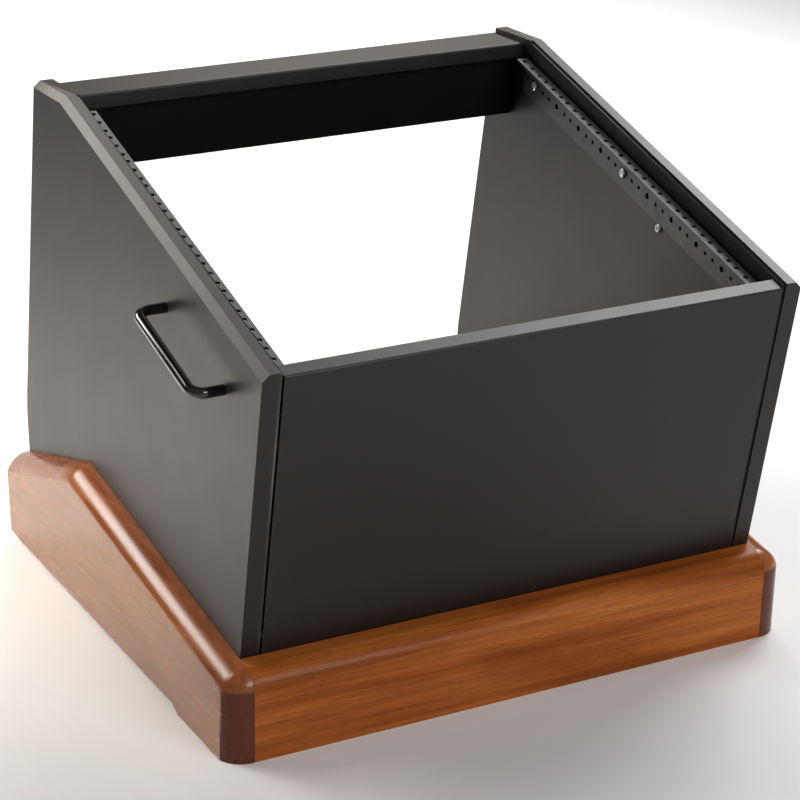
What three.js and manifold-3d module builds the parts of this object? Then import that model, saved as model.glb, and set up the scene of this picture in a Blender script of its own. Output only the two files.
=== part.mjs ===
// Sloped 19-inch equipment rack on a wooden plinth.
// Two board sides, a front panel, a rear top board and a stretcher hold a pair of punched
// rack rails; a wooden plinth with rounded edges carries the cabinet. Millimetres, +X right, +Y back,
// +Z up, floor at Z = 0.
import * as THREE from 'three';
import { mergeVertices } from 'three/addons/utils/BufferGeometryUtils.js';
import Module from 'manifold-3d';

// ---------------------------------------------------------------- driving dimensions
const rackUnits = 10;                     // height of the equipment bay, in rack units
const rackUnit = 44.45;                   // one rack unit
const holeSteps = [0, 15.875, 31.75];     // the three holes of a unit, from its first hole
const railEndMargin = 6.35;               // first and last hole to the end of the rail
const bayWidth = 486;                     // clear width between the side panels
const holeInset = 10.45;                  // side panel to the rail's hole line
const sideBoard = 19;                     // side panel thickness
const thinBoard = 16;                     // front panel, top, bottom and stretcher
const rearBoard = 19;                     // rear plinth rail thickness
const overallHeight = 498.5;              // floor to the flat top of the side panels
const rackSlope = THREE.MathUtils.degToRad(16.5);
const bodyLean = THREE.MathUtils.degToRad(13);      // front and rear edges lean forward
const sideProud = 16.5;                   // side panel edge above the rack face
const topAboveDatum = 19;                 // top of the sides above the first rail hole
const rearBehindDatum = 83;               // rear edge behind the first hole, at its level
const kneeHeight = 139.5;                 // the leaning rear edge turns upright here
const kneeRadius = 150;
const edgeChamfer = 6.3;                  // chamfer on the outer top edges of the sides
const rebateWidth = 3;                    // small step on the inner edge of the sides
const rebateDepth = 2.4;
const railToPanel = 3.8;                  // end of the rail to the back of the front panel
const frontPanelDrop = 4.4;               // front panel top below the side panel edge
const frontPanelEndGap = 1.2;
const bottomBoardUnder = 18;              // bottom board and front panel, above the floor
const topBoardDrop = 5;                   // rear top board below the side panels
const topBoardDepth = 58;
const stretcherHeight = 64;
const stretcherInset = 34;                // rear face ahead of the cabinet's rear edge

const steel = 3;                          // rack rail sheet
const railFlange = 15.4;                  // front flange, seen from the front
const railDepth = 36;                      // side flange
const railBend = 6;                       // outside radius of the fold
const railHole = 2.7;                     // radius of the threaded face holes
const flangeHoleSmall = 2.2;              // radii of the side flange holes
const flangeHoleLarge = 3.2;
const flangeHoleDepth = 20.6;             // side flange holes below the rack face
const railScrewUnits = [0, 4, 9];         // units whose middle hole takes a screw

const handleSpacing = 128;                // centre to centre of the posts
const handleCentre = 327;                 // middle of the handle, down the slope
const handleBelowRail = 6;                // handle line below the rail's side flange
const handleRod = 10;                     // rod diameter
const handleReach = 28;                   // grip centre line off the side panel
const handleBend = 12;                    // centre line radius of the corners

const plinthBoard = 25;
const plinthRail = 30;
const plinthLean = THREE.MathUtils.degToRad(3);
const plinthRearHeight = 91;              // where the plinth sides meet the cabinet
const plinthPeakHeight = 144.5;
const plinthFrontHeight = 88;
const plinthPeakFromRear = 188;
const plinthCorner = 20;                  // side-view radius of the front top corner
const roundExtra = 1.5;                   // their rounding's radius beyond their thickness
const footStep = 6.5;                     // underside raised behind the front foot
const footLength = 125;
const footRamp = 12;
const rearRailHeight = 84;

const gap = 0.3;                          // between parts that touch
const farAway = 1500;                     // beyond any part of the cabinet
const screwRadius = 2;
const screwHeadRadius = 4.6;
const screwHeadHeight = 2.6;
const woodScrewHeadRadius = 3.9;
const woodScrewHeadHeight = 2.8;
const woodScrewLength = 34;
const railScrewLength = 14;
const handleScrewGrip = 12;               // thread inside the handle post
const dowelRadius = 4;
const dowelLength = 30;
const dowelInSide = 11;                   // share of a dowel that sits in a side panel
const dowelInPlinth = 13;                   // share of a dowel that sits in a plinth side
const rubberFootRadius = 9;
const rubberFootInset = 27;

// ---------------------------------------------------------------- derived places
const bayHalf = bayWidth / 2;
const sideOuter = bayHalf + sideBoard;
const plinthInner = sideOuter + gap;
const roundRadius = plinthBoard + roundExtra;
const handleBelowFace = railDepth + handleBelowRail;
const railLength = rackUnits * rackUnit;
const railTop = railEndMargin;
const railBottom = railTop - railLength;
const frontFaceDown = railLength - railEndMargin + railToPanel
  + thinBoard / Math.cos(rackSlope - bodyLean);

const slopeDir = new THREE.Vector2(Math.cos(rackSlope), Math.sin(rackSlope));
const slopeOut = new THREE.Vector2(-Math.sin(rackSlope), Math.cos(rackSlope));
const leanDir = new THREE.Vector2(-Math.sin(bodyLean), Math.cos(bodyLean));
const leanOut = new THREE.Vector2(-Math.cos(bodyLean), -Math.sin(bodyLean));
const levelDir = new THREE.Vector2(1, 0);
const plumbDir = new THREE.Vector2(0, 1);
const plinthFaceDir = new THREE.Vector2(-Math.sin(plinthLean), Math.cos(plinthLean));

const datum = new THREE.Vector2(0, overallHeight - topAboveDatum);   // first hole, rack face
const along = (start, dir, distance) => start.clone().addScaledVector(dir, distance);
const level = (height) => new THREE.Vector2(0, height);

// Where the line through p along d meets the line through q along e, in the Y-Z plane.
function meet(p, d, q, e) {
  const offset = q.clone().sub(p);
  return along(p, d, offset.cross(e) / d.cross(e));
}

const frontFace = along(datum, slopeDir, -frontFaceDown);
const rearEdge = new THREE.Vector2(rearBehindDatum, datum.y);
const slopeEdge = along(datum, slopeOut, sideProud);
const rearFoot = meet(rearEdge, leanDir, level(kneeHeight), levelDir);
const cabinetFrontAtPlinth = meet(frontFace, leanDir, level(plinthFrontHeight), levelDir);

const rackFrame = new THREE.Matrix4().makeRotationX(rackSlope).setPosition(0, datum.x, datum.y);
const sideways = new THREE.Matrix4().makeBasis(
  new THREE.Vector3(0, 1, 0), new THREE.Vector3(0, 0, 1), new THREE.Vector3(1, 0, 0));

// ---------------------------------------------------------------- materials
const finish = (color, roughness, metalness) => ({ color, roughness, metalness });
const finishes = {
  laminate: finish(0x3a3632, 0.5, 0.0),
  rail: finish(0x4a4845, 0.4, 0.6),
  handle: finish(0x0b0b0b, 0.15, 0.3),
  zinc: finish(0xc8c9cb, 0.3, 1.0),
  plinthWood: finish(0x8c5233, 0.3, 0.0),
  railWood: finish(0x96582c, 0.35, 0.0),
  beech: finish(0xcaa57a, 0.7, 0.0),
  rubber: finish(0x161616, 0.9, 0.0),
};

// ---------------------------------------------------------------- solids
const wasm = await Module();
wasm.setup();

function toSolid(geometry) {
  const bare = geometry.clone();
  bare.deleteAttribute('normal');
  bare.deleteAttribute('uv');
  const merged = mergeVertices(bare, 1e-4);
  return new wasm.Manifold(new wasm.Mesh({
    numProp: 3,
    vertProperties: new Float32Array(merged.attributes.position.array),
    triVerts: new Uint32Array(merged.index.array),
  }));
}

function toGeometry(solid) {
  const mesh = solid.getMesh();
  const geometry = new THREE.BufferGeometry();
  geometry.setAttribute('position', new THREE.BufferAttribute(mesh.vertProperties, 3));
  geometry.setIndex(new THREE.BufferAttribute(mesh.triVerts, 1));
  return geometry;
}

function carve(geometry, cutters) {
  let solid = toSolid(geometry);
  for (const cutter of cutters) {
    solid = solid.subtract(toSolid(cutter));
  }
  return toGeometry(solid);
}

const merge = (a, b) => toGeometry(toSolid(a).add(toSolid(b)));
const overlap = (a, b) => toGeometry(toSolid(a).intersect(toSolid(b)));

// The same solid on the other side of the X = 0 plane.
function mirrorX(geometry) {
  const mirrored = mergeVertices(stripped(geometry), 1e-4).scale(-1, 1, 1);
  const index = mirrored.index.array;
  for (let i = 0; i < index.length; i += 3) {
    const swap = index[i];
    index[i] = index[i + 1];
    index[i + 1] = swap;
  }
  return mirrored;
}

function stripped(geometry) {
  const bare = geometry.clone();
  bare.deleteAttribute('normal');
  bare.deleteAttribute('uv');
  return bare;
}

// A board whose outline lies in the Y-Z plane, from x = start over a thickness.
function boardAcross(outline, start, thickness, curveSegments = 12) {
  const options = { depth: thickness, bevelEnabled: false, curveSegments };
  const shape = outline instanceof THREE.Shape ? outline : new THREE.Shape(outline);
  const geometry = new THREE.ExtrudeGeometry(shape, options);
  return geometry.applyMatrix4(sideways).translate(start, 0, 0);
}

// A cylinder along X from x = start, at a point of the Y-Z plane.
function pinAcross(radius, start, length, point, segments = 10) {
  const pin = new THREE.CylinderGeometry(radius, radius, length, segments);
  pin.rotateZ(Math.PI / 2);
  return pin.translate(start + length / 2, point.x, point.y);
}

// A point of the Y-Z plane given in the rack face's own frame.
const onRack = (up, out) => along(along(datum, slopeDir, up), slopeOut, out);

// Everything on the outer side of a plane that runs along a Y-Z line and leans in X.
function planeCutter(x, point, dir, normalX, normalOut) {
  const size = 4000;
  const out = new THREE.Vector2(-dir.y, dir.x);
  const normal = new THREE.Vector3(normalX, out.x * normalOut, out.y * normalOut).normalize();
  const tangent = new THREE.Vector3(0, dir.x, dir.y);
  const third = new THREE.Vector3().crossVectors(normal, tangent);
  const box = new THREE.BoxGeometry(size, size, size).translate(0, 0, size / 2);
  box.applyMatrix4(new THREE.Matrix4().makeBasis(tangent, third, normal));
  return box.translate(x, point.x, point.y);
}

// ---------------------------------------------------------------- fastener places
const railScrewHoles = railScrewUnits
  .filter((unit) => unit < rackUnits)
  .map((unit) => -(unit * rackUnit + holeSteps[1]));
const handlePosts = [-(handleCentre - handleSpacing / 2), -(handleCentre + handleSpacing / 2)];

const topBoardTop = overallHeight - topBoardDrop;
const topBoardRear = meet(rearEdge, leanDir, level(topBoardTop), levelDir);
const topBoardUnderRear = meet(rearEdge, leanDir, level(topBoardTop - thinBoard), levelDir);
const topBoardFrontY = topBoardRear.x - topBoardDepth;
const stretcherRear = along(rearEdge, leanOut, stretcherInset);
const stretcherFront = along(stretcherRear, leanOut, thinBoard);
const stretcherCeiling = level(topBoardTop - thinBoard - gap);
const stretcherTopFront = meet(stretcherFront, leanDir, stretcherCeiling, levelDir);
const stretcherTopRear = meet(stretcherRear, leanDir, stretcherCeiling, levelDir);

const topBoardDowels = [0.25, 0.75].map((share) =>
  new THREE.Vector2(topBoardFrontY + topBoardDepth * share, topBoardTop - thinBoard / 2));
const stretcherDowels = [0.25, 0.75].map((share) =>
  along(along(stretcherTopFront, leanDir, -stretcherHeight * share), leanOut, -thinBoard / 2));
const frontPanelTopFront = meet(
  frontFace, leanDir, along(slopeEdge, slopeOut, -frontPanelDrop), slopeDir);
const frontPanelLow = meet(frontFace, leanDir, level(bottomBoardUnder), levelDir);
const frontPanelHeight = frontPanelTopFront.distanceTo(frontPanelLow);
const frontPanelDowels = [0.2, 0.75].map((share) =>
  along(along(frontPanelTopFront, leanDir, -frontPanelHeight * share), leanOut, -thinBoard / 2));
const rearRailDowels = [0.3, 0.75].map((share) =>
  new THREE.Vector2(rearFoot.x - rearBoard / 2, footStep + rearRailHeight * share));

const bottomBoardFront = meet(along(frontFace, leanOut, -(thinBoard + gap)), leanDir,
  level(bottomBoardUnder + thinBoard), levelDir);
const bottomBoardRear = new THREE.Vector2(rearFoot.x - rearBoard - gap, bottomBoardFront.y);
const bottomBoardDowels = [0.2, 0.8].map((share) =>
  bottomBoardFront.clone().lerp(bottomBoardRear, share)
    .sub(new THREE.Vector2(0, thinBoard / 2)));

const plinthScrewHeight = bottomBoardFront.y + 14;
const plinthScrewYs = [60, 250, 440].map((ahead) => rearFoot.x - ahead);
const plinthScrews = plinthScrewYs.map((y) => new THREE.Vector2(y, plinthScrewHeight));

// ---------------------------------------------------------------- cabinet
function sidePanelOutline() {
  const topRear = meet(rearEdge, leanDir, level(overallHeight), levelDir);
  const topFront = meet(slopeEdge, slopeDir, level(overallHeight), levelDir);
  const frontTop = meet(slopeEdge, slopeDir, frontFace, leanDir);
  const frontLow = meet(frontFace, leanDir, level(footStep), levelDir);
  const kneeTangent = kneeRadius * Math.tan(bodyLean / 2);
  const kneeCentre = new THREE.Vector2(rearFoot.x - kneeRadius, rearFoot.y - kneeTangent);
  const outline = new THREE.Shape();
  outline.moveTo(frontLow.x, frontLow.y);
  outline.lineTo(rearFoot.x, footStep);
  outline.lineTo(rearFoot.x, kneeCentre.y);
  outline.absarc(kneeCentre.x, kneeCentre.y, kneeRadius, 0, bodyLean, false);
  outline.lineTo(topRear.x, topRear.y);
  outline.lineTo(topFront.x, topFront.y);
  outline.lineTo(frontTop.x, frontTop.y);
  outline.closePath();
  return outline;
}

// A thin step cut along the inner edge of a side, down the slope or down the front.
function rebateCutter(start, dir, out, length) {
  const margin = 1;
  const low = along(start, out, -rebateDepth);
  const corners = [
    low,
    along(low, dir, length),
    along(along(low, dir, length), out, rebateDepth + margin),
    along(low, out, rebateDepth + margin),
  ];
  return boardAcross(corners, bayHalf - margin, rebateWidth + margin);
}

function sidePanel() {
  const board = boardAcross(sidePanelOutline(), bayHalf, sideBoard);
  const topFront = meet(slopeEdge, slopeDir, level(overallHeight), levelDir);
  const frontTop = meet(slopeEdge, slopeDir, frontFace, leanDir);
  const slopeLength = topFront.distanceTo(frontTop);
  const hole = screwRadius + gap;
  const dowelHole = dowelRadius + gap;
  const dowelDepth = dowelInSide + gap;
  const blind = (point) => pinAcross(dowelHole, bayHalf - 1, dowelDepth + 1, point);
  const cutters = [
    planeCutter(sideOuter - edgeChamfer, slopeEdge, slopeDir, 1, 1),
    planeCutter(sideOuter - edgeChamfer, level(overallHeight), levelDir, 1, 1),
    rebateCutter(topFront, slopeDir.clone().negate(), slopeOut, slopeLength + 2),
    rebateCutter(along(frontTop, leanDir, 2), leanDir.clone().negate(), leanOut,
      frontTop.y),
    ...topBoardDowels.map(blind),
    ...stretcherDowels.map(blind),
    ...frontPanelDowels.map(blind),
    ...rearRailDowels.map(blind),
    ...bottomBoardDowels.map(blind),
  ];
  for (const up of railScrewHoles) {
    const depth = railScrewLength - steel + 1;
    cutters.push(pinAcross(hole, bayHalf - 1, depth + 1, onRack(up, -flangeHoleDepth)));
  }
  for (const up of handlePosts) {
    const point = onRack(up, -handleBelowFace);
    cutters.push(pinAcross(hole, bayHalf - 1, sideBoard + 2, point));
  }
  for (const point of plinthScrews) {
    const seat = woodScrewHeadHeight + gap;
    cutters.push(pinAcross(hole, bayHalf - 1, sideBoard + 2, point));
    cutters.push(pinAcross(woodScrewHeadRadius + gap, bayHalf - 1, seat + 1, point));
  }
  return carve(board, cutters);
}

// A panel between the sides, drilled in both ends for its dowels.
function crossPanel(corners, halfLength, dowels, dowelDepth) {
  const board = boardAcross(corners, -halfLength, 2 * halfLength);
  const cutters = [];
  for (const point of dowels) {
    const reach = dowelDepth + 1;
    cutters.push(pinAcross(dowelRadius + gap, halfLength - dowelDepth, reach, point));
    cutters.push(pinAcross(dowelRadius + gap, -halfLength - 1, reach, point));
  }
  return carve(board, cutters);
}

const dowelInPanel = dowelLength - dowelInSide + gap;

function frontPanel() {
  const back = along(frontFace, leanOut, -thinBoard);
  const topLine = along(slopeEdge, slopeOut, -frontPanelDrop);
  const corners = [
    frontPanelLow,
    meet(back, leanDir, level(bottomBoardUnder), levelDir),
    meet(back, leanDir, topLine, slopeDir),
    frontPanelTopFront,
  ];
  return crossPanel(corners, bayHalf - frontPanelEndGap, frontPanelDowels, dowelInPanel);
}

function topBoard() {
  const corners = [
    new THREE.Vector2(topBoardFrontY, topBoardTop - thinBoard),
    topBoardUnderRear,
    topBoardRear,
    new THREE.Vector2(topBoardFrontY, topBoardTop),
  ];
  return crossPanel(corners, bayHalf - gap, topBoardDowels, dowelInPanel);
}

function bottomBoard() {
  const front = along(frontFace, leanOut, -(thinBoard + gap));
  const corners = [
    meet(front, leanDir, level(bottomBoardUnder), levelDir),
    new THREE.Vector2(bottomBoardRear.x, bottomBoardUnder),
    bottomBoardRear,
    bottomBoardFront,
  ];
  return crossPanel(corners, bayHalf - gap, bottomBoardDowels, dowelInPanel);
}

function stretcher() {
  const lowFront = along(stretcherTopFront, leanDir, -stretcherHeight);
  const corners = [
    lowFront,
    along(lowFront, leanOut, -thinBoard),
    stretcherTopRear,
    stretcherTopFront,
  ];
  return crossPanel(corners, bayHalf - gap, stretcherDowels, dowelInPanel);
}

// ---------------------------------------------------------------- rack rails
// Section in X and out-of-face, with the fold next to the side panel.
function railSection() {
  const outer = bayHalf - gap;
  const inner = outer - steel;
  const bendIn = railBend - steel;
  const section = new THREE.Shape();
  section.moveTo(outer - railFlange, -steel);
  section.lineTo(outer - railBend, -steel);
  section.absarc(outer - railBend, -railBend, bendIn, Math.PI / 2, 0, true);
  section.lineTo(inner, -railDepth);
  section.lineTo(outer, -railDepth);
  section.lineTo(outer, -railBend);
  section.absarc(outer - railBend, -railBend, railBend, 0, Math.PI / 2, false);
  section.lineTo(outer - railFlange, 0);
  section.closePath();
  return section;
}

function rackRail() {
  const options = { depth: railLength, bevelEnabled: false, curveSegments: 4 };
  const bar = new THREE.ExtrudeGeometry(railSection(), options);
  bar.rotateX(Math.PI / 2).translate(0, railTop, 0);
  const cutters = [];
  for (let unit = 0; unit < rackUnits; unit += 1) {
    holeSteps.forEach((step, place) => {
      const y = -(unit * rackUnit + step);
      const face = new THREE.CylinderGeometry(railHole, railHole, 3 * steel, 10);
      face.rotateX(Math.PI / 2).translate(bayHalf - holeInset, y, -steel / 2);
      const radius = place === 1 ? flangeHoleLarge : flangeHoleSmall;
      const side = new THREE.CylinderGeometry(radius, radius, 3 * steel, 8);
      side.rotateZ(Math.PI / 2).translate(bayHalf - gap - steel / 2, y, -flangeHoleDepth);
      cutters.push(face, side);
    });
  }
  return carve(bar, cutters);
}

// ---------------------------------------------------------------- screws and dowels
// Pan-head screw along +X, its seat at x = 0, with a cross recess.
function panHeadScrew(length) {
  const profile = [
    new THREE.Vector2(0, -screwHeadHeight),
    new THREE.Vector2(screwHeadRadius * 0.62, -screwHeadHeight),
    new THREE.Vector2(screwHeadRadius * 0.9, -screwHeadHeight * 0.62),
    new THREE.Vector2(screwHeadRadius, -screwHeadHeight * 0.2),
    new THREE.Vector2(screwHeadRadius, 0),
    new THREE.Vector2(screwRadius, 0),
    new THREE.Vector2(screwRadius, length - screwRadius),
    new THREE.Vector2(0, length),
  ];
  const body = new THREE.LatheGeometry(profile, 12);
  const recessDepth = 1.4;
  const wing = screwHeadRadius * 0.9;
  const slots = [new THREE.BoxGeometry(wing, recessDepth, 0.9),
    new THREE.BoxGeometry(0.9, recessDepth, wing)];
  const recessed = slots.map((slot) =>
    slot.translate(0, -screwHeadHeight + recessDepth / 2 - 0.2, 0));
  return carve(body, recessed).rotateZ(-Math.PI / 2);
}

// Flat-head wood screw along +X, its flat head at x = 0.
function woodScrew() {
  const neck = woodScrewHeadHeight;
  const profile = [
    new THREE.Vector2(0, 0),
    new THREE.Vector2(woodScrewHeadRadius, 0),
    new THREE.Vector2(woodScrewHeadRadius, neck * 0.3),
    new THREE.Vector2(screwRadius, neck),
    new THREE.Vector2(screwRadius, woodScrewLength - 3 * screwRadius),
    new THREE.Vector2(0, woodScrewLength),
  ];
  return new THREE.LatheGeometry(profile, 10).rotateZ(-Math.PI / 2);
}

const dowelRod = new THREE.CylinderGeometry(dowelRadius, dowelRadius, dowelLength, 10)
  .rotateZ(Math.PI / 2);

// ---------------------------------------------------------------- handles
function handle() {
  const face = sideOuter + gap;
  const grip = sideOuter + handleReach;
  const bendStart = grip - handleBend;
  const pull = handleBend * 0.5523;
  const [top, low] = handlePosts;
  const at = (x, y) => new THREE.Vector3(x, y, -handleBelowFace);
  const path = new THREE.CurvePath();
  path.add(new THREE.LineCurve3(at(face, top), at(bendStart, top)));
  path.add(new THREE.CubicBezierCurve3(at(bendStart, top), at(bendStart + pull, top),
    at(grip, top - handleBend + pull), at(grip, top - handleBend)));
  path.add(new THREE.LineCurve3(at(grip, top - handleBend), at(grip, low + handleBend)));
  path.add(new THREE.CubicBezierCurve3(at(grip, low + handleBend),
    at(grip, low + handleBend - pull), at(bendStart + pull, low), at(bendStart, low)));
  path.add(new THREE.LineCurve3(at(bendStart, low), at(face, low)));
  const section = new THREE.Shape();
  section.absarc(0, 0, handleRod / 2, 0, 2 * Math.PI, false);
  const options = { steps: 32, curveSegments: 5, extrudePath: path };
  const rod = new THREE.ExtrudeGeometry(section, options);
  const sockets = handlePosts.map((y) => {
    const depth = handleScrewGrip + 1;
    const socket = pinAcross(screwRadius + gap, face - 1, depth + 1, new THREE.Vector2());
    return socket.translate(0, y, -handleBelowFace);
  });
  return carve(rod, sockets);
}

// ---------------------------------------------------------------- plinth
// The line where the plinth meets the cabinet: rear rise, slope, front face.
const plinthRear = new THREE.Vector2(rearFoot.x, plinthRearHeight);
const plinthPeak = new THREE.Vector2(rearFoot.x - plinthPeakFromRear, plinthPeakHeight);
const plinthRise = plinthPeak.clone().sub(plinthRear).normalize();
const plinthFall = cabinetFrontAtPlinth.clone().sub(plinthPeak).normalize();
const plinthRailBack = cabinetFrontAtPlinth.clone().sub(new THREE.Vector2(2 * gap, 0));
const plinthRailFace = plinthRailBack.clone()
  .sub(new THREE.Vector2(plinthRail / Math.cos(plinthLean), 0));
const faceIn = new THREE.Vector2(plinthFaceDir.y, -plinthFaceDir.x);
const riseIn = new THREE.Vector2(-plinthRise.y, plinthRise.x);
const fallIn = new THREE.Vector2(-plinthFall.y, plinthFall.x);

const cornerCentre = meet(along(plinthPeak, fallIn, plinthCorner), plinthFall,
  along(plinthRailFace, faceIn, plinthCorner), plinthFaceDir);
const fallEnd = along(cornerCentre, fallIn, -plinthCorner);
const faceStart = along(cornerCentre, faceIn, -plinthCorner);
const faceEnd = meet(plinthRailFace, plinthFaceDir, level(0), levelDir);

// Half of the side board's section, X across the board and Y outwards from the contact
// line, from the inner top corner round the outer one.
function roundOver(facets = 8) {
  const sweep = Math.asin(plinthBoard / roundRadius);
  const points = [];
  for (let i = 0; i <= facets; i += 1) {
    const turn = sweep * i / facets;
    points.push(new THREE.Vector2(roundRadius * Math.sin(turn),
      roundRadius * (Math.cos(turn) - 1)));
  }
  return points;
}

// All that lies inside one edge of the side board: its section, run along a Y-Z line.
function edgeRun(point, dir, inwards) {
  const section = [
    ...roundOver(),
    new THREE.Vector2(plinthBoard, -farAway),
    new THREE.Vector2(0, -farAway),
  ];
  const options = { depth: 2 * farAway, bevelEnabled: false };
  const bar = new THREE.ExtrudeGeometry(new THREE.Shape(section.reverse()), options);
  bar.translate(0, 0, -farAway);
  const basis = new THREE.Matrix4().makeBasis(new THREE.Vector3(1, 0, 0),
    new THREE.Vector3(0, -inwards.x, -inwards.y), new THREE.Vector3(0, dir.x, dir.y));
  return bar.applyMatrix4(basis).translate(plinthInner, point.x, point.y);
}

// The rounded edge turned about the centre of the front top corner.
function cornerDisc() {
  const rim = roundOver().map((p) => new THREE.Vector2(plinthCorner + p.y, p.x));
  const profile = [
    new THREE.Vector2(0, 0),
    ...rim,
    new THREE.Vector2(0, plinthBoard),
  ];
  const disc = new THREE.LatheGeometry(profile, 48).rotateZ(-Math.PI / 2);
  return disc.translate(plinthInner, cornerCentre.x, cornerCentre.y);
}

const frontRailDowels = [0.3, 0.75].map((share) => {
  const up = faceStart.distanceTo(faceEnd) * share;
  return along(along(faceEnd, plinthFaceDir, up), faceIn, plinthRail / 2);
});

function plinthSide() {
  const footEnd = faceEnd.x + footLength;
  const outline = [
    faceEnd,
    new THREE.Vector2(footEnd - footRamp, 0),
    new THREE.Vector2(footEnd, footStep),
    new THREE.Vector2(rearFoot.x, footStep),
    new THREE.Vector2(rearFoot.x, plinthPeak.y + 1),
    new THREE.Vector2(fallEnd.x, plinthPeak.y + 1),
    fallEnd,
    cornerCentre,
    faceStart,
  ];
  const edges = [
    edgeRun(plinthPeak, plinthRise, riseIn),
    edgeRun(plinthPeak, plinthFall, fallIn),
    edgeRun(faceEnd, plinthFaceDir.clone().negate(), faceIn),
  ];
  const blank = edges.reduce(overlap, boardAcross(outline, plinthInner, plinthBoard));
  const depth = woodScrewLength - sideBoard + 1;
  const cutters = plinthScrews.map((point) =>
    pinAcross(screwRadius + gap, plinthInner - 1, depth + 1, point));
  for (const point of frontRailDowels) {
    cutters.push(pinAcross(dowelRadius + gap, plinthInner - 1, dowelInPlinth + gap + 1, point));
  }
  return carve(merge(blank, cornerDisc()), cutters);
}

function frontRail() {
  const outline = new THREE.Shape();
  const backLow = meet(plinthRailBack, plinthFaceDir, level(0), levelDir);
  const backTop = meet(plinthRailBack, plinthFaceDir, plinthPeak, plinthFall);
  outline.moveTo(backLow.x, 0);
  outline.lineTo(backTop.x, backTop.y);
  outline.lineTo(fallEnd.x, fallEnd.y);
  outline.absarc(cornerCentre.x, cornerCentre.y, plinthCorner,
    Math.atan2(-fallIn.y, -fallIn.x), Math.PI + plinthLean, false);
  outline.lineTo(faceEnd.x, 0);
  outline.closePath();
  return crossPanel(outline, sideOuter, frontRailDowels, dowelLength - dowelInPlinth + gap);
}

function rearRail() {
  const front = rearFoot.x - rearBoard;
  const top = footStep + rearRailHeight;
  const corners = [
    new THREE.Vector2(front, footStep),
    new THREE.Vector2(rearFoot.x, footStep),
    new THREE.Vector2(rearFoot.x, top),
    new THREE.Vector2(front, top),
  ];
  return crossPanel(corners, bayHalf - gap, rearRailDowels, dowelInPanel);
}

// ---------------------------------------------------------------- assembly
const rack = new THREE.Group();
const assembly = new THREE.Group();
assembly.add(rack);
rack.applyMatrix4(rackFrame);

function add(parent, name, geometry, look) {
  const mesh = new THREE.Mesh(geometry, new THREE.MeshStandardMaterial(finishes[look]));
  mesh.name = name;
  parent.add(mesh);
  return mesh;
}

// One copy on each side; the left one is the mirror of the right one.
function addPair(parent, name, geometry, look) {
  add(parent, `${name}_right`, geometry, look);
  add(parent, `${name}_left`, mirrorX(geometry), look);
}

// A fastener on each side, its tip pointing outwards, at a height in the parent's frame.
function addOutward(parent, name, geometry, look, x, y, z) {
  add(parent, `${name}_right`, geometry, look).position.set(x, y, z);
  const left = add(parent, `${name}_left`, geometry, look);
  left.position.set(-x, y, z);
  left.rotation.z = Math.PI;
}

function addDowels(name, points, centreX) {
  points.forEach((point, i) => {
    addOutward(assembly, `${name}_${i + 1}`, dowelRod, 'beech', centreX, point.x, point.y);
  });
}

addPair(assembly, 'side_panel', sidePanel(), 'laminate');
add(assembly, 'front_panel', frontPanel(), 'laminate');
add(assembly, 'rear_top_board', topBoard(), 'laminate');
add(assembly, 'rear_stretcher', stretcher(), 'laminate');
add(assembly, 'bottom_board', bottomBoard(), 'laminate');

addPair(rack, 'rack_rail', rackRail(), 'rail');
const railScrew = panHeadScrew(railScrewLength);
railScrewHoles.forEach((up, i) => {
  const seat = bayHalf - gap - steel - gap;
  addOutward(rack, `rail_screw_${i + 1}`, railScrew, 'zinc', seat, up, -flangeHoleDepth);
});

addPair(rack, 'handle', handle(), 'handle');
const handleScrew = panHeadScrew(sideBoard + handleScrewGrip);
handlePosts.forEach((up, i) => {
  const seat = bayHalf - gap;
  addOutward(rack, `handle_screw_${i + 1}`, handleScrew, 'zinc', seat, up, -handleBelowFace);
});

addPair(assembly, 'plinth_side', plinthSide(), 'plinthWood');
add(assembly, 'plinth_front_rail', frontRail(), 'railWood');
add(assembly, 'plinth_rear_rail', rearRail(), 'railWood');
plinthScrews.forEach((point, i) => {
  addOutward(assembly, `plinth_screw_${i + 1}`, woodScrew(), 'zinc',
    bayHalf, point.x, point.y);
});

const inSide = bayHalf + dowelInSide - dowelLength / 2;
addDowels('top_board_dowel', topBoardDowels, inSide);
addDowels('stretcher_dowel', stretcherDowels, inSide);
addDowels('front_panel_dowel', frontPanelDowels, inSide);
addDowels('rear_rail_dowel', rearRailDowels, inSide);
addDowels('bottom_board_dowel', bottomBoardDowels, inSide);
addDowels('front_rail_dowel', frontRailDowels, plinthInner + dowelInPlinth - dowelLength / 2);

const footHeight = footStep - gap;
const rubberFoot = new THREE.CylinderGeometry(rubberFootRadius, rubberFootRadius, footHeight, 16)
  .rotateX(Math.PI / 2);
addOutward(assembly, 'rubber_foot', rubberFoot, 'rubber',
  plinthInner + plinthBoard / 2, rearFoot.x - rubberFootInset, footHeight / 2);

// The origin is on the floor, under the middle of the whole object.
assembly.updateMatrixWorld(true);
const middle = new THREE.Box3().setFromObject(assembly).getCenter(new THREE.Vector3());
assembly.position.set(-middle.x, -middle.y, 0);

export default assembly;
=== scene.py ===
"""Looks for a sloped 19-inch rack cabinet: black laminated boards on a lacquered wood plinth.

Metres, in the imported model's own frame: +X right, +Y towards the open back, +Z up.
"""

import math

import bmesh
import bpy
from mathutils import Matrix, Vector


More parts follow.
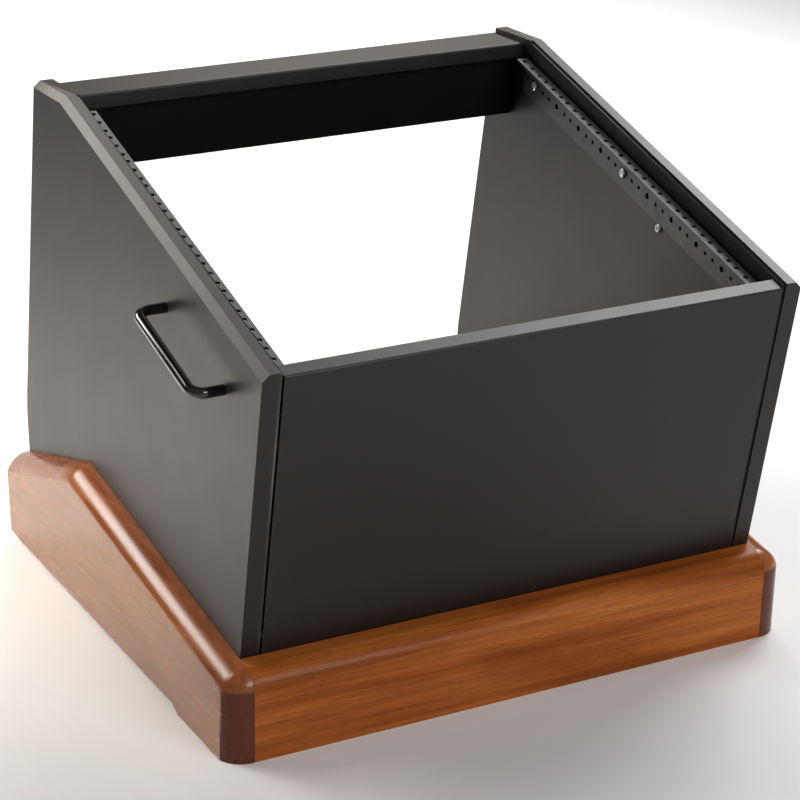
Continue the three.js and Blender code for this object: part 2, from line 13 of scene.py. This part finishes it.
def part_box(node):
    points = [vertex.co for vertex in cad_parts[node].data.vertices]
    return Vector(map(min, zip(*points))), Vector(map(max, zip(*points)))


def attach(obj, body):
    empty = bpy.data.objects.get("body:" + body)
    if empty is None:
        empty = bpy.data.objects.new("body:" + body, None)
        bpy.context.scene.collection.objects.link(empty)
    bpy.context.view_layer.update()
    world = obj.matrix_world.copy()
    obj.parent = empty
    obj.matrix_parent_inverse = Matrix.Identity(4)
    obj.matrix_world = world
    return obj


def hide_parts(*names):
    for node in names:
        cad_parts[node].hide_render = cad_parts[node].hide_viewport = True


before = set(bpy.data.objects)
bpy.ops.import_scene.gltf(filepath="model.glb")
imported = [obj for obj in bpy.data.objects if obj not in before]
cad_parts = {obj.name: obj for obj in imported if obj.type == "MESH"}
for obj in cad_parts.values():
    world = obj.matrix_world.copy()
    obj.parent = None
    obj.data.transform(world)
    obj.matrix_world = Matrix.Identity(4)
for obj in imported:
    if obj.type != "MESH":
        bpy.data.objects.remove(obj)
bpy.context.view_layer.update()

SIDES = ("left", "right")
MM = 0.001

# ---------------------------------------------------------------- softened corners
BOARD_EDGE = 0.6 * MM          # laminated boards
LIT_EDGE = 2.0 * MM            # front edges of the front panel and the top board
STEEL_EDGE = 0.3 * MM
WOOD_EDGE = 0.32 * MM          # the plinth's plain corners
REAR_RAIL_EDGE = 0.8 * MM
RIDGE = 5.0 * MM               # where the plinth's rounded edge changes slope
RIDGE_REACH = 3 * MM           # how far along Y the ridge's edges lie from the peak
RIDGE_LOWEST = 0.1             # the ridge's edges lie above this height
LONG_EDGE = 9 * MM             # shorter edges are hole rims and keep their shape
WELD = 1e-6                    # vertices closer than this are one
FLAT_TURN = math.radians(0.6)  # faces that turn by less are merged
SLIGHT_TURN = math.radians(8)
CORNER_TURN = math.radians(24)
SMOOTH_TURN = math.radians(38)  # edges that turn by more are shaded sharp

# ---------------------------------------------------------------- handles and screw heads
HANDLE_ROD = 5.0 * MM          # radius
HANDLE_SLIM = 0.995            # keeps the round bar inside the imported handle's box
HANDLE_BEND = 12.0 * MM        # centre line radius
HANDLE_STEPS = 12              # per bend
HANDLE_SIDES = 28
SCREW_HEAD = 4.6 * MM          # radius
SCREW_DOME = 2.6 * MM          # height of the head above its seat
SCREW_NECK = 2 * MM            # radius
SCREW_NECK_LENGTH = 8 * MM
SCREW_STEPS = 8                # over the dome
SCREW_SIDES = 36
RECESS_LENGTH = 5.0 * MM
RECESS_WIDTH = 1.0 * MM
RECESS_HEIGHT = 2.6 * MM       # half of it lies above the dome
RECESS_TAPER = 0.45            # length at the bottom as a part of the length at the top


# ---------------------------------------------------------------- mesh helpers
def link(name, data):
    obj = bpy.data.objects.new(name, data)
    bpy.context.scene.collection.objects.link(obj)
    return obj


def finished(bm, name):
    """The mesh made from bm, which is freed."""
    mesh = bpy.data.meshes.new(name)
    bm.to_mesh(mesh)
    bm.free()
    return mesh


def shade(mesh):
    """Smooth shading that keeps sharp corners."""
    for polygon in mesh.polygons:
        polygon.use_smooth = True
    mesh.set_sharp_from_angle(angle=SMOOTH_TURN)


def weigh_normals(obj):
    modifier = obj.modifiers.new("flat faces stay flat", "WEIGHTED_NORMAL")
    modifier.keep_sharp = True
    modifier.weight = 80


def corner_edges(bm, angle, shortest):
    """The edges that turn by more than angle and are longer than shortest."""
    return [edge for edge in bm.edges
            if len(edge.link_faces) == 2 and edge.calc_length() > shortest
            and edge.calc_face_angle(0.0) > angle]


def round_off(bm, edges, radius, segments):
    bmesh.ops.bevel(bm, geom=edges, offset=radius, segments=segments, profile=0.5,
                    affect="EDGES", clamp_overlap=True)


def softened(node, piece, radius, segments=3, special=None, shortest=LONG_EDGE):
    """A copy of a CAD node with its long corners rounded, standing for the node.

    special is (test, radius): edges that pass the test get that radius instead, down to
    the length given by shortest.
    """
    bm = bmesh.new()
    bm.from_mesh(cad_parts[node].data)
    bmesh.ops.remove_doubles(bm, verts=bm.verts, dist=WELD)
    bmesh.ops.dissolve_limit(bm, angle_limit=FLAT_TURN, verts=bm.verts, edges=bm.edges)
    if special:
        test, special_radius = special
        chosen = [edge for edge in corner_edges(bm, SLIGHT_TURN, shortest)
                  if test(edge.verts[0].co, edge.verts[1].co)]
        round_off(bm, chosen, special_radius, segments + 2)
    round_off(bm, corner_edges(bm, CORNER_TURN, LONG_EDGE), radius, segments)
    mesh = finished(bm, piece)
    shade(mesh)
    obj = link(piece, mesh)
    weigh_normals(obj)
    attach(obj, "root")
    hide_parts(node)
    return obj


def swept_rod(name, centres, radius):
    """A round bar along a list of points, closed at both ends."""
    bm = bmesh.new()
    rings = []
    normal = (centres[1] - centres[0]).orthogonal().normalized()
    for i, centre in enumerate(centres):
        before = centres[max(i - 1, 0)]
        after = centres[min(i + 1, len(centres) - 1)]
        tangent = (after - before).normalized()
        normal = (normal - tangent * normal.dot(tangent)).normalized()
        binormal = tangent.cross(normal)
        ring = []
        for k in range(HANDLE_SIDES):
            turn = 2 * math.pi * k / HANDLE_SIDES
            offset = normal * math.cos(turn) + binormal * math.sin(turn)
            ring.append(bm.verts.new(centre + offset * radius))
        rings.append(ring)
    for first, second in zip(rings, rings[1:]):
        for k in range(HANDLE_SIDES):
            after = (k + 1) % HANDLE_SIDES
            bm.faces.new((first[k], first[after], second[after], second[k]))
    bm.faces.new(list(reversed(rings[0])))
    bm.faces.new(rings[-1])
    bmesh.ops.recalc_face_normals(bm, faces=bm.faces)
    mesh = finished(bm, name)
    shade(mesh)
    return link(name, mesh)


# ---------------------------------------------------------------- material helpers
class Nodes:
    """Short calls for building one material's node tree."""

    def __init__(self, name, slot):
        self.material = bpy.data.materials.new(name)
        self.material.use_nodes = True
        self.tree = self.material.node_tree
        self.tree.nodes.clear()
        self.slot = slot
        self.shader = self.add("ShaderNodeBsdfPrincipled")
        output = self.add("ShaderNodeOutputMaterial")
        self.join(self.shader.outputs[0], output.inputs[0])
        self.place = self.add("ShaderNodeTexCoord").outputs["Object"]

    def add(self, kind, **values):
        node = self.tree.nodes.new(kind)
        for key, value in values.items():
            setattr(node, key, value)
        return node

    def join(self, source, target):
        self.tree.links.new(source, target)

    def stretched(self, scale):
        """Object coordinates times a scale for each axis."""
        stretch = self.add("ShaderNodeVectorMath", operation="MULTIPLY")
        self.join(self.place, stretch.inputs[0])
        stretch.inputs[1].default_value = scale
        return stretch.outputs[0]

    def noise(self, vector, scale, detail, rough=0.55, distortion=0.0):
        node = self.add("ShaderNodeTexNoise")
        self.join(vector, node.inputs["Vector"])
        node.inputs["Scale"].default_value = scale
        node.inputs["Detail"].default_value = detail
        node.inputs["Roughness"].default_value = rough
        node.inputs["Distortion"].default_value = distortion
        return node.outputs[0]

    def ramp(self, value, stops):
        """Colours from (position, colour) stops."""
        node = self.add("ShaderNodeValToRGB")
        elements = node.color_ramp.elements
        while len(elements) < len(stops):
            elements.new(0.5)
        for element, (position, colour) in zip(elements, stops):
            element.position = position
            element.color = (*colour, 1)
        self.join(value, node.inputs[0])
        return node.outputs[0]

    def range(self, value, low, high, to_low, to_high):
        node = self.add("ShaderNodeMapRange")
        self.join(value, node.inputs["Value"])
        node.inputs["From Min"].default_value = low
        node.inputs["From Max"].default_value = high
        node.inputs["To Min"].default_value = to_low
        node.inputs["To Max"].default_value = to_high
        return node.outputs[0]

    def math(self, operation, a, b=0.0):
        node = self.add("ShaderNodeMath", operation=operation)
        for socket, value in zip(node.inputs, (a, b)):
            if isinstance(value, (int, float)):
                socket.default_value = value
            else:
                self.join(value, socket)
        return node.outputs[0]

    def mix(self, factor, a, b, blend="MIX"):
        node = self.add("ShaderNodeMix", data_type="RGBA", blend_type=blend)
        for socket, value in ((node.inputs[0], factor), (node.inputs[6], a),
                              (node.inputs[7], b)):
            if isinstance(value, (int, float)):
                socket.default_value = value
            elif isinstance(value, tuple):
                socket.default_value = (*value, 1)
            else:
                self.join(value, socket)
        return node.outputs[2]

    def shaded(self, colour, amount):
        """A colour made lighter or darker by a number."""
        return self.mix(1.0, colour, amount, "MULTIPLY")

    def bump(self, height, distance, strength, base=None):
        node = self.add("ShaderNodeBump")
        node.inputs["Distance"].default_value = distance
        node.inputs["Strength"].default_value = strength
        self.join(height, node.inputs["Height"])
        if base is not None:
            self.join(base, node.inputs["Normal"])
        return node.outputs[0]

    def edges(self, radius, noise_scale=90.0):
        """Lighter colour on the rounded corners, broken up by noise: a painted highlight."""
        rounded = self.add("ShaderNodeBevel", samples=4)
        rounded.inputs["Radius"].default_value = radius
        true_normal = self.add("ShaderNodeNewGeometry").outputs["Normal"]
        dot = self.add("ShaderNodeVectorMath", operation="DOT_PRODUCT")
        self.join(rounded.outputs[0], dot.inputs[0])
        self.join(true_normal, dot.inputs[1])
        turned = self.math("SUBTRACT", 1.0, dot.outputs["Value"])
        # painted highlight along the rounded corners
        corner_highlight = self.range(turned, 0.02, 0.22, 0.0, 1.0)
        patches = self.range(self.noise(self.place, noise_scale, 4), 0.35, 0.65, 0.25, 1.0)
        return self.math("MULTIPLY", corner_highlight, patches)

    def set(self, **values):
        for key, value in values.items():
            socket = self.shader.inputs[key.replace("_", " ")]
            if isinstance(value, (int, float)):
                socket.default_value = value
            elif isinstance(value, tuple):
                socket.default_value = (*value, 1)
            else:
                self.join(value, socket)


def paint(obj, nodes):
    obj.data.materials.clear()
    obj.data.materials.append(nodes.material)


def dress(obj, nodes):
    """Paint a piece with the material."""
    paint(obj, nodes)


# ---------------------------------------------------------------- materials
def laminate():
    """Satin black laminate with a fine pebbled texture and painted highlights along its
    corners.
    """
    n = Nodes("black laminate", "laminate")
    cloud = n.noise(n.place, 5.0, 4)
    speck = n.noise(n.place, 1400.0, 2, 0.6)
    base = n.ramp(cloud, [(0.3, (0.0046, 0.0033, 0.0026)), (0.7, (0.0062, 0.0046, 0.0037))])
    flecked = n.mix(n.range(speck, 0.45, 0.75, 0.0, 0.35), base, (0.016, 0.013, 0.011))
    # painted highlight: the rounded corners lightened towards pale grey
    corner_highlight = n.edges(1.0 * MM)
    colour = n.mix(n.math("MULTIPLY", corner_highlight, 0.55), flecked, (0.20, 0.19, 0.18))
    pebble = n.add("ShaderNodeTexVoronoi", feature="SMOOTH_F1")
    n.join(n.place, pebble.inputs["Vector"])
    pebble.inputs["Scale"].default_value = 1100.0
    pebble.inputs["Smoothness"].default_value = 0.6
    fine = n.bump(pebble.outputs["Distance"], 0.00012, 0.35)
    normal = n.bump(n.noise(n.place, 24.0, 3), 0.0003, 0.03, fine)
    rough = n.math("ADD", n.range(n.noise(n.place, 16.0, 5), 0.3, 0.7, 0.385, 0.415),
                   n.math("MULTIPLY", speck, 0.04))
    n.set(Base_Color=colour, Roughness=rough, Normal=normal, IOR=1.5,
          Specular_Tint=(1.0, 0.955, 0.90))
    return n


def coated_steel():
    """Dark satin coating on sheet steel, with painted highlights along its edges and painted
    shade in its holes.
    """
    n = Nodes("coated steel", "rail")
    grain = n.noise(n.place, 2200.0, 3, 0.6)
    cloud = n.noise(n.place, 20.0, 4)
    base = n.ramp(cloud, [(0.3, (0.030, 0.029, 0.027)), (0.7, (0.042, 0.040, 0.037))])
    # painted highlight: the rounded edges lightened towards grey
    corner_highlight = n.edges(0.5 * MM, 300.0)
    colour = n.mix(n.math("MULTIPLY", corner_highlight, 0.6), base, (0.30, 0.29, 0.27))
    # painted shade: ambient occlusion darkens the holes to near black and lowers their
    # specular level
    hole_shade = n.add("ShaderNodeAmbientOcclusion", samples=8)
    hole_shade.inputs["Distance"].default_value = 4 * MM
    free_of_hole_shade = n.range(hole_shade.outputs["AO"], 0.60, 0.96, 0.0, 1.0)
    rough = n.range(n.noise(n.place, 60.0, 4), 0.3, 0.7, 0.37, 0.45)
    n.set(Base_Color=n.mix(free_of_hole_shade, (0.002, 0.002, 0.002), colour), Roughness=rough,
          Normal=n.bump(grain, 0.00006, 0.4),
          Specular_IOR_Level=n.math("MULTIPLY", free_of_hole_shade, 0.62))
    return n


def gloss_black():
    """Thick gloss black enamel with a faint orange-peel surface."""
    n = Nodes("gloss black enamel", "handle")
    peel = n.noise(n.place, 420.0, 2, 0.4)
    smear = n.noise(n.place, 30.0, 5)
    # painted highlight: the rounded corners lightened towards grey
    corner_highlight = n.edges(0.6 * MM, 260.0)
    base = n.mix(n.math("MULTIPLY", corner_highlight, 0.3), (0.0045, 0.0045, 0.0048), (0.06, 0.06, 0.06))
    n.set(Base_Color=base, Roughness=n.range(smear, 0.3, 0.7, 0.10, 0.20),
          Normal=n.bump(peel, 0.00008, 0.25), Coat_Weight=0.6, Coat_Roughness=0.06)
    return n


def zinc():
    """Bright zinc plate with fine scratches and dull patches."""
    n = Nodes("bright zinc plate", "zinc")
    patches = n.noise(n.place, 380.0, 4)
    colour = n.ramp(patches, [(0.3, (0.66, 0.67, 0.69)), (0.7, (0.88, 0.88, 0.87))])
    scratch = n.noise(n.stretched((300, 2600, 2600)), 1.0, 3)
    n.set(Base_Color=colour, Metallic=0.7, Roughness=n.range(patches, 0.3, 0.7, 0.20, 0.36),
          Normal=n.bump(scratch, 0.00003, 0.5))
    return n


def rubber():
    """Matt black rubber with dust in its texture."""
    n = Nodes("matt rubber", "rubber")
    grain = n.noise(n.place, 1500.0, 4)
    dust = n.range(n.noise(n.place, 70.0, 5), 0.45, 0.75, 0.0, 0.35)
    n.set(Base_Color=n.mix(dust, (0.012, 0.012, 0.012), (0.07, 0.065, 0.06)),
          Roughness=n.range(grain, 0.3, 0.7, 0.75, 0.95), Normal=n.bump(grain, 0.0001, 0.5))
    return n


def wood(name, slot, along, stops, pore, gloss, coat, shine=0.5, contrast=0.5,
         end=None, face=None):
    """Lacquered wood with its grain along an axis (0, 1 or 2).

    stops run from the dark to the light figure, and pore is the colour of the open pores.
    gloss is the lowest roughness, coat the lacquer's weight, shine the specular level and
    contrast the strength of the fine streaks. end is the colour that the end grain takes
    up, partly its own darker tone and partly painted shade; face is the paler tone of the
    broad outer faces, across the X axis, partly the veneer's own tone and partly painted
    sheen.
    """
    n = Nodes(name, slot)

    def fibres(length_scale, cross_scale):
        """Object coordinates drawn out along the grain."""
        scale = [cross_scale] * 3
        scale[along] = length_scale
        return n.stretched(scale)

    def facing(axis):
        """How squarely the surface faces along an axis, from 0 to 1."""
        return n.math("ABSOLUTE", direction.outputs[axis])

    direction = n.add("ShaderNodeSeparateXYZ")
    n.join(n.add("ShaderNodeTexCoord").outputs["Normal"], direction.inputs[0])
    sweep = n.noise(fibres(1.6, 9.0), 2.0, 3, 0.5, 0.8)
    bands = n.noise(fibres(2.2, 60.0), 1.6, 5, 0.62, 0.35)
    threads = n.noise(fibres(14.0, 900.0), 1.0, 4, 0.65)
    pores = n.noise(fibres(95.0, 2300.0), 1.0, 2, 0.5)
    figure = n.math("ADD", n.math("MULTIPLY", sweep, 0.55), n.math("MULTIPLY", bands, 0.45))
    streaks = n.range(threads, 0.30, 0.70, 1.0 - contrast * 0.5, 1.0 + contrast * 0.35)
    colour = n.shaded(n.ramp(figure, stops), streaks)
    # the broad outer faces made paler: partly the veneer's own tone, partly painted sheen
    if face:
        veneer_and_sheen = n.range(facing(0), 0.965, 0.995, 0.0, 0.75)
        tone = n.math("MULTIPLY", streaks, n.range(figure, 0.35, 0.65, 0.85, 1.18))
        colour = n.mix(veneer_and_sheen, colour, n.shaded(face, tone))
    open_pores = n.range(pores, 0.60, 0.72, 0.0, 0.7)
    colour = n.mix(open_pores, colour, pore)
    # end grain darkened: partly the end grain's own tone, partly painted shade on the front
    # corners
    if end:
        across = n.range(facing(along), 0.10, 0.28, 0.0, 1.0)
        upright = n.range(facing(2), 0.10, 0.24, 1.0, 0.0)
        cut = n.math("MULTIPLY", across, upright)
        specks = n.range(n.noise(n.place, 900.0, 3), 0.35, 0.7, 0.75, 1.15)
        colour = n.mix(cut, colour, n.shaded(end, specks))
        shine = n.range(cut, 0.0, 1.0, shine, 0.5 * shine)
    # painted highlight: the rounded corners lightened towards the lightest figure colour
    corner_highlight = n.edges(1.0 * MM)
    colour = n.mix(n.math("MULTIPLY", corner_highlight, 0.25), colour, stops[-1][1])
    rough = n.math("ADD", n.range(bands, 0.3, 0.7, gloss, gloss + 0.10),
                   n.math("MULTIPLY", open_pores, 0.12))
    normal = n.bump(n.math("SUBTRACT", threads, n.math("MULTIPLY", open_pores, 0.6)),
                    0.00010, 0.20)
    n.set(Base_Color=colour, Roughness=rough, Normal=normal, Specular_IOR_Level=shine,
          Coat_Weight=coat, Coat_Roughness=0.12, Coat_IOR=1.5)
    return n


black = laminate()
steel = coated_steel()
enamel = gloss_black()
plate = zinc()
pad = rubber()

# figure of each wood, dark to light
warm = [(0.30, (0.150, 0.032, 0.003)), (0.44, (0.270, 0.066, 0.009)),
        (0.56, (0.390, 0.112, 0.020)), (0.72, (0.540, 0.200, 0.052))]
red = [(0.30, (0.150, 0.034, 0.010)), (0.44, (0.245, 0.066, 0.018)),
       (0.58, (0.330, 0.102, 0.028)), (0.76, (0.450, 0.165, 0.048))]
raw = [(0.30, (0.42, 0.26, 0.13)), (0.50, (0.52, 0.34, 0.18)), (0.75, (0.62, 0.43, 0.25))]

rail_wood = wood("front rail wood", "rail_wood", 0, warm, (0.060, 0.014, 0.003),
                 gloss=0.34, coat=0.06, shine=0.12)
# end: darker end grain, partly its own tone and partly painted shade; face: paler outer
# faces, partly the veneer's tone and partly painted sheen
side_wood = wood("plinth side wood", "side_wood", 1, red, (0.060, 0.016, 0.005),
                 gloss=0.21, coat=0.12, shine=0.36, contrast=0.3,
                 end=(0.105, 0.025, 0.012), face=(0.310, 0.150, 0.066))
dowel_wood = wood("raw beech", "beech", 0, raw, (0.30, 0.18, 0.09), gloss=0.6, coat=0.0)

# ---------------------------------------------------------------- cabinet boards
LIP_REACH = 2 * MM             # how far behind the frontmost point a lip's edges lie
front_panel_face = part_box("front_panel")[0].y
top_board_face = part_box("rear_top_board")[0].y


def front_panel_lip(a, b):
    """The top front edge of the front panel."""
    level = abs(a.y - b.y) < 1e-5
    return level and min(a.y, b.y) < front_panel_face + LIP_REACH


def top_board_lip(a, b):
    """The two long front edges of the rear top board."""
    long = abs(a.x - b.x) > 0.2
    return long and max(a.y, b.y) < top_board_face + LIP_REACH


for side in SIDES:
    dress(softened(f"side_panel_{side}", f"side_board_{side}", BOARD_EDGE), black)
dress(softened("front_panel", "front_board", BOARD_EDGE,
               special=(front_panel_lip, LIT_EDGE)), black)
dress(softened("rear_top_board", "top_board", BOARD_EDGE,
               special=(top_board_lip, LIT_EDGE)), black)
dress(softened("rear_stretcher", "stretcher_board", BOARD_EDGE), black)

# ---------------------------------------------------------------- rails, handles, screws
for side in SIDES:
    dress(softened(f"rack_rail_{side}", f"punched_rail_{side}", STEEL_EDGE, 2), steel)


def handle_path(node, outward):
    """Post, bend, grip, bend, post: the centre line of a pull handle."""
    low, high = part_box(node)
    face = low.x if outward > 0 else high.x
    grip = (high.x if outward > 0 else low.x) - outward * HANDLE_ROD
    first = Vector((face, low.y + HANDLE_ROD, low.z + HANDLE_ROD))
    last = Vector((face, high.y - HANDLE_ROD, high.z - HANDLE_ROD))
    run = (last - first).normalized()
    out = Vector((outward, 0, 0))
    reach = abs(grip - face) - HANDLE_BEND
    points = [first, first + out * reach * 0.5]
    bends = ((first + out * reach + run * HANDLE_BEND, -run, out),
             (last + out * reach - run * HANDLE_BEND, out, run))
    for centre, start, end in bends:
        for k in range(HANDLE_STEPS + 1):
            turn = math.pi / 2 * k / HANDLE_STEPS
            points.append(centre + (start * math.cos(turn) + end * math.sin(turn))
                          * HANDLE_BEND)
    points += [last + out * reach * 0.5, last]
    return points


for side, outward in zip(SIDES, (-1, 1)):
    node = f"handle_{side}"
    rod = swept_rod(f"pull_handle_{side}", handle_path(node, outward),
                    HANDLE_ROD * HANDLE_SLIM)
    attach(rod, "root")
    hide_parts(node)
    dress(rod, enamel)


def turned_blank(name, profile):
    """A solid turned about X from (x, radius) points, the first and last at radius 0."""
    bm = bmesh.new()
    turns = [2 * math.pi * k / SCREW_SIDES for k in range(SCREW_SIDES)]
    rings = []
    for x, radius in profile:
        if radius == 0.0:
            ring = [bm.verts.new((x, 0, 0))] * SCREW_SIDES
        else:
            ring = [bm.verts.new((x, radius * math.cos(turn), radius * math.sin(turn)))
                    for turn in turns]
        rings.append(ring)
    for first, second in zip(rings, rings[1:]):
        for k in range(SCREW_SIDES):
            after = (k + 1) % SCREW_SIDES
            corners = (first[k], second[k], second[after], first[after])
            bm.faces.new(list(dict.fromkeys(corners)))
    bmesh.ops.recalc_face_normals(bm, faces=bm.faces)
    return link(name, finished(bm, name))


def cross_recess():
    """Two crossed bars, shorter at the bottom, that are cut out of a screw head."""
    bm = bmesh.new()
    for long_axis in (1, 2):
        size = [RECESS_HEIGHT, RECESS_WIDTH, RECESS_WIDTH]
        size[long_axis] = RECESS_LENGTH
        for vert in bmesh.ops.create_cube(bm, size=1.0)["verts"]:
            vert.co = [value * scale for value, scale in zip(vert.co, size)]
            vert.co[long_axis] *= RECESS_TAPER if vert.co.x > 0 else 1.0
            vert.co.x -= SCREW_DOME
    return link("recess", finished(bm, "recess"))


def pan_head(name):
    """The head and neck of a pan-head screw along +X, seat at x = 0, with a cross recess."""
    profile = [(-SCREW_DOME, 0.0)]
    for k in range(1, SCREW_STEPS + 1):
        turn = math.pi / 2 * k / SCREW_STEPS
        profile.append((-SCREW_DOME * (0.25 + 0.75 * math.cos(turn) ** 0.6),
                        SCREW_HEAD * math.sin(turn) ** 0.85))
    profile += [(0.0, SCREW_HEAD), (0.0, SCREW_NECK), (SCREW_NECK_LENGTH, SCREW_NECK),
                (SCREW_NECK_LENGTH, 0.0)]
    head = turned_blank(name, profile)
    cutter = cross_recess()
    boolean = head.modifiers.new("recess", "BOOLEAN")
    boolean.operation = "DIFFERENCE"
    boolean.object = cutter
    boolean.solver = "EXACT"
    boolean.use_self = True
    bpy.context.view_layer.update()
    depsgraph = bpy.context.evaluated_depsgraph_get()
    cut = bpy.data.meshes.new_from_object(head.evaluated_get(depsgraph))
    cut.name = name
    bpy.data.objects.remove(cutter)
    bpy.data.objects.remove(head)
    shade(cut)
    return cut


head_mesh = pan_head("pan head")
head_mesh.materials.append(plate.material)
screws = [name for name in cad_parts
          if name.startswith(("rail_screw_", "handle_screw_"))]
for node in sorted(screws):
    low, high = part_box(node)
    middle = (low + high) / 2
    on_right = low.x > 0
    seat = low.x + SCREW_DOME if on_right else high.x - SCREW_DOME
    place = Matrix.Translation((seat, middle.y, middle.z))
    turn = Matrix.Rotation(0.0 if on_right else math.pi, 4, "Z")
    # each screw stopped at its own angle
    twist = Matrix.Rotation(0.7 + 1.3 * len(node) + 40 * low.y, 4, "X")
    piece = link(f"{node}_head", head_mesh)
    piece.matrix_world = place @ turn @ twist
    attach(piece, "root")
    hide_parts(node)

# ---------------------------------------------------------------- plinth
plinth_points = [v.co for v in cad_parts["plinth_side_right"].data.vertices]
peak = max(plinth_points, key=lambda point: point.z)


def ridge(a, b):
    """The crease across the rounded edge where it turns from the rear rise to the slope."""
    return all(abs(point.y - peak.y) < RIDGE_REACH and point.z > RIDGE_LOWEST
               for point in (a, b))


for side in SIDES:
    dress(softened(f"plinth_side_{side}", f"plinth_board_{side}", WOOD_EDGE,
                   special=(ridge, RIDGE), shortest=0.0), side_wood)
dress(softened("plinth_front_rail", "front_rail", WOOD_EDGE), rail_wood)
dress(softened("plinth_rear_rail", "rear_rail", REAR_RAIL_EDGE), rail_wood)
dress(softened("bottom_board", "floor_board", BOARD_EDGE), black)

# ---------------------------------------------------------------- CAD nodes kept as they are
for name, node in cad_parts.items():
    if "dowel" in name:
        paint(node, dowel_wood)
    elif name.startswith("plinth_screw"):
        paint(node, plate)
    elif name.startswith("rubber_foot"):
        paint(node, pad)


# ---------------------------------------------------------------- floor, light, camera
FLOOR_REACH = 15.0             # from its middle to its edge


def floor():
    bm = bmesh.new()
    bmesh.ops.create_grid(bm, x_segments=1, y_segments=1, size=FLOOR_REACH)
    plane = link("floor", finished(bm, "floor"))
    n = Nodes("pale floor", "none")
    cloud = n.noise(n.place, 3.0, 4)
    tone = n.ramp(cloud, [(0.3, (0.86, 0.86, 0.86)), (0.7, (0.90, 0.90, 0.90))])
    n.set(Base_Color=tone, Roughness=0.55)
    paint(plane, n)


def softbox(name, place, target, size, power, spread=180, colour=(1, 1, 1)):
    """A rectangular light in watts, aimed at a point, with its spread in degrees."""
    light = bpy.data.lights.new(name, "AREA")
    light.spread = math.radians(spread)
    light.shape = "RECTANGLE"
    light.size, light.size_y = size
    light.energy = power
    light.color = colour
    obj = link(name, light)
    obj.location = place
    aim = Vector(target) - Vector(place)
    obj.rotation_euler = aim.to_track_quat("-Z", "Y").to_euler()


def surroundings():
    """White light from all round, stronger from the front than from the back."""
    world = bpy.data.worlds.new("studio")
    world.use_nodes = True
    sky = world.node_tree
    around = sky.nodes.new("ShaderNodeTexCoord")
    direction = sky.nodes.new("ShaderNodeSeparateXYZ")
    glow = sky.nodes.new("ShaderNodeMapRange")
    for key, value in (("From Min", 0.5), ("From Max", -0.4), ("To Min", 0.02),
                       ("To Max", 0.26)):
        glow.inputs[key].default_value = value
    background = sky.nodes["Background"]
    background.inputs["Color"].default_value = (1, 1, 1, 1)
    sky.links.new(around.outputs["Generated"], direction.inputs[0])
    sky.links.new(direction.outputs["Y"], glow.inputs["Value"])
    sky.links.new(glow.outputs[0], background.inputs["Strength"])
    bpy.context.scene.world = world


def camera():
    data = bpy.data.cameras.new("camera")
    data.lens = 111.1
    data.sensor_width = 36
    obj = link("camera", data)
    obj.location = (-1.0077, -1.9957, 1.0330)
    obj.rotation_euler = [math.radians(turn) for turn in (69.563, 0.333, -27.273)]
    bpy.context.scene.camera = obj


floor()
softbox("key softbox", (1.75, 0.9, 2.1), (0.1, -0.1, 0.35), (1.3, 1.3), 45)
softbox("low side softbox", (-0.95, 0.45, 1.0), (-0.6, 0.6, 0), (0.5, 0.5), 5.8, 100,
        (1.0, 0.91, 0.82))
softbox("rear side softbox", (-1.5, 1.95, 1.5), (-0.27, -0.05, 0.25), (1.0, 1.0), 4.8, 60,
        (1.0, 0.96, 0.91))
softbox("rear floor softbox", (1.2, 2.6, 2.2), (0.7, 1.8, 0), (1.0, 1.0), 17, 90,
        (1.0, 0.97, 0.94))
softbox("far floor softbox", (1.6, 5.2, 2.6), (1.6, 5.0, 0), (2.0, 2.0), 75, 110)
softbox("front softbox", (0.5, -2.9, 1.7), (0, 0, 0.1), (1.6, 1.2), 42)

surroundings()
camera()
bpy.context.scene.view_settings.view_transform = "Standard"
